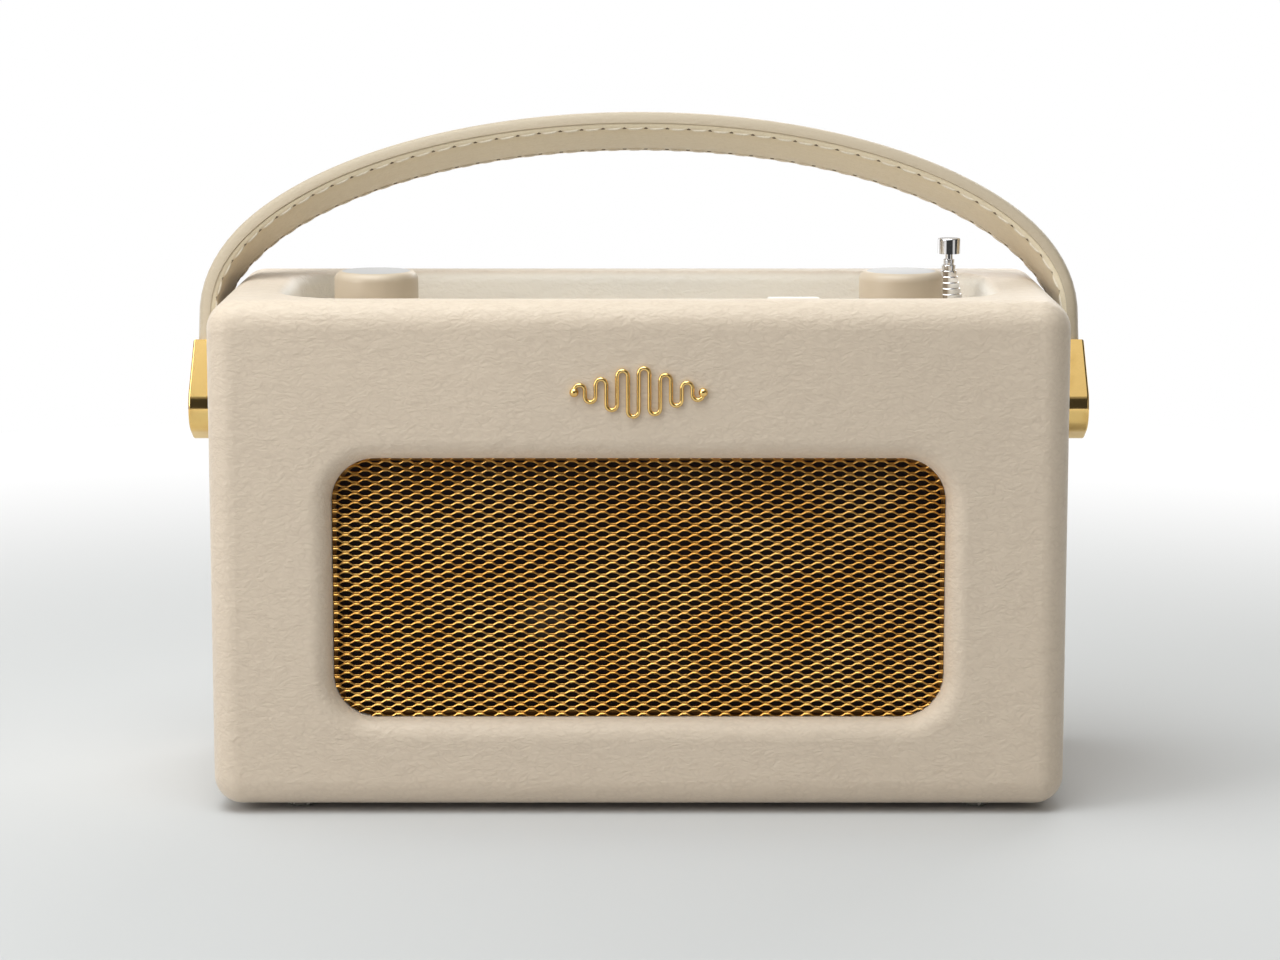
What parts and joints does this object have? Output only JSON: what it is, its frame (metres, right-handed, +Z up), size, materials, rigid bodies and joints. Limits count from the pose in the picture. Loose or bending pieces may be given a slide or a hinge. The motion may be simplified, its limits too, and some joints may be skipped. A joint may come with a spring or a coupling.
{
  "type": "portable radio",
  "caption": "Leather-covered portable radio with a curved carrying handle, two knobs in a top recess, an expanded metal grille and a telescopic aerial.",
  "frame": {"origin": "on the table under the middle of the cabinet", "axes": "+X to the radio's right seen from the front, +Y to its back, +Z up; the grille faces -Y"},
  "size_m": [0.2698, 0.1059, 0.2002],
  "materials": {
    "cabinet_wood": "raw board",
    "leather": "fine grain, satin",
    "strap_leather": "satin, stitched",
    "brass": "polished",
    "chrome": "polished",
    "steel": "zinc plated",
    "grille_metal": "gold lacquer",
    "cloth": "matt",
    "foot_rubber": "translucent",
    "knob_plastic": "satin",
    "panel_plastic": "satin",
    "button_plastic": "satin",
    "black_plastic": "fine texture",
    "window": "clear",
    "circuit_board": "solder mask",
    "cone_paper": "pressed paper",
    "magnet": "plain",
    "cell_wrap": "sleeve"
  },
  "bodies": {
    "cabinet": {"cabinet_shell": "cabinet_wood", "front_baffle": "cabinet_wood", "speaker_board": "cabinet_wood", "leather_covering": "leather", "feet": "foot_rubber", "front_ornament": "brass", "speaker_grille": "grille_metal", "grille_cloth": "cloth", "rear_panel": "black_plastic", "wood_screws": "steel", "control_panel": "panel_plastic", "display_window": "window", "display_module": "black_plastic", "control_board": "circuit_board", "board_screws": "steel", "button_switches": "black_plastic", "volume_encoder": "steel", "tuning_encoder": "steel", "encoder_nuts": "steel", "main_board": "circuit_board", "radio_module": "steel", "dc_socket": "black_plastic", "headphone_socket": "black_plastic", "aux_socket": "black_plastic", "battery_tray": "black_plastic", "battery_cells": "cell_wrap", "battery_contacts": "steel", "speaker_basket": "steel", "speaker_magnet": "magnet", "handle_plates": "brass", "handle_pivots": "brass", "pivot_nuts": "steel", "aerial_bush": "chrome", "aerial_guide": "black_plastic"},
    "handle": {"handle_strap": "strap_leather", "handle_lining": "strap_leather", "handle_cap_left": "brass", "handle_cap_right": "brass"},
    "volume": {"volume_knob": "knob_plastic", "volume_shaft": "steel"},
    "tuning_push": {"tuning_plunger": "black_plastic"},
    "tuning": {"tuning_knob": "knob_plastic", "tuning_shaft": "steel"},
    "menu": {"menu_button": "button_plastic"},
    "info": {"info_button": "button_plastic"},
    "band": {"band_button": "button_plastic"},
    "preset": {"preset_button": "button_plastic"},
    "standby": {"standby_button": "button_plastic"},
    "aerial_carriage": {"aerial_knuckle": "chrome"},
    "battery_cover": {"battery_door": "black_plastic"},
    "diaphragm": {"speaker_cone": "cone_paper", "speaker_surround": "foot_rubber"},
    "aerial_1": {"aerial_tube_1": "chrome"},
    "aerial_2": {"aerial_tube_2": "chrome"},
    "aerial_3": {"aerial_tube_3": "chrome"},
    "aerial_4": {"aerial_tube_4": "chrome"},
    "aerial_5": {"aerial_tube_5": "chrome"},
    "aerial_6": {"aerial_tube_6": "chrome"},
    "aerial_7": {"aerial_tube_7": "chrome"},
    "aerial_rod": {"aerial_tip": "chrome"}
  },
  "joints": [
    {"name": "handle_swing", "type": "hinge", "parent": "cabinet", "child": "handle", "pos_m": [0, 0, 0.1144], "axis": [1, 0, 0], "range_deg": [0, 50]},
    {"name": "volume_turn", "type": "hinge", "parent": "cabinet", "child": "volume", "pos_m": [-0.0789, 0, 0.145], "axis": [0, 0, 1], "continuous": true},
    {"name": "tuning_press", "type": "slide", "parent": "cabinet", "child": "tuning_push", "axis": [0, 0, -1], "range_m": [0, 0.0008], "stiffness_N_per_m": 150, "springref_m": -0.003},
    {"name": "tuning_turn", "type": "hinge", "parent": "tuning_push", "child": "tuning", "pos_m": [0.0789, 0, 0.145], "axis": [0, 0, 1], "continuous": true},
    {"name": "menu_press", "type": "slide", "parent": "cabinet", "child": "menu", "axis": [0, 0, -1], "range_m": [0, 0.0008], "stiffness_N_per_m": 60, "springref_m": -0.003},
    {"name": "info_press", "type": "slide", "parent": "cabinet", "child": "info", "axis": [0, 0, -1], "range_m": [0, 0.0008], "stiffness_N_per_m": 60, "springref_m": -0.003},
    {"name": "band_press", "type": "slide", "parent": "cabinet", "child": "band", "axis": [0, 0, -1], "range_m": [0, 0.0008], "stiffness_N_per_m": 60, "springref_m": -0.003},
    {"name": "preset_press", "type": "slide", "parent": "cabinet", "child": "preset", "axis": [0, 0, -1], "range_m": [0, 0.0008], "stiffness_N_per_m": 60, "springref_m": -0.003},
    {"name": "standby_press", "type": "slide", "parent": "cabinet", "child": "standby", "axis": [0, 0, -1], "range_m": [0, 0.0008], "stiffness_N_per_m": 60, "springref_m": -0.003},
    {"name": "aerial_lift", "type": "slide", "parent": "cabinet", "child": "aerial_carriage", "axis": [0, 0, 1], "range_m": [0, 0.112]},
    {"name": "aerial_swivel", "type": "hinge", "parent": "aerial_carriage", "child": "aerial_1", "pos_m": [0.0943, 0.013, 0.03], "axis": [0, 0, 1], "continuous": true},
    {"name": "aerial_draw_2", "type": "slide", "parent": "aerial_1", "child": "aerial_2", "axis": [0, 0, 1], "range_m": [0, 0.1]},
    {"name": "aerial_draw_3", "type": "slide", "parent": "aerial_2", "child": "aerial_3", "axis": [0, 0, 1], "range_m": [0, 0.1]},
    {"name": "aerial_draw_4", "type": "slide", "parent": "aerial_3", "child": "aerial_4", "axis": [0, 0, 1], "range_m": [0, 0.1]},
    {"name": "aerial_draw_5", "type": "slide", "parent": "aerial_4", "child": "aerial_5", "axis": [0, 0, 1], "range_m": [0, 0.1]},
    {"name": "aerial_draw_6", "type": "slide", "parent": "aerial_5", "child": "aerial_6", "axis": [0, 0, 1], "range_m": [0, 0.1]},
    {"name": "aerial_draw_7", "type": "slide", "parent": "aerial_6", "child": "aerial_7", "axis": [0, 0, 1], "range_m": [0, 0.1]},
    {"name": "aerial_draw_rod", "type": "slide", "parent": "aerial_7", "child": "aerial_rod", "axis": [0, 0, 1], "range_m": [0, 0.1]},
    {"name": "battery_door_turn", "type": "hinge", "parent": "cabinet", "child": "battery_cover", "pos_m": [-0.03, 0.04955, 0.02135], "axis": [-1, 0, 0], "range_deg": [0, 95]},
    {"name": "cone_travel", "type": "slide", "parent": "cabinet", "child": "diaphragm", "axis": [0, -1, 0], "range_m": [-0.0012, 0.0012], "stiffness_N_per_m": 300}
  ]
}
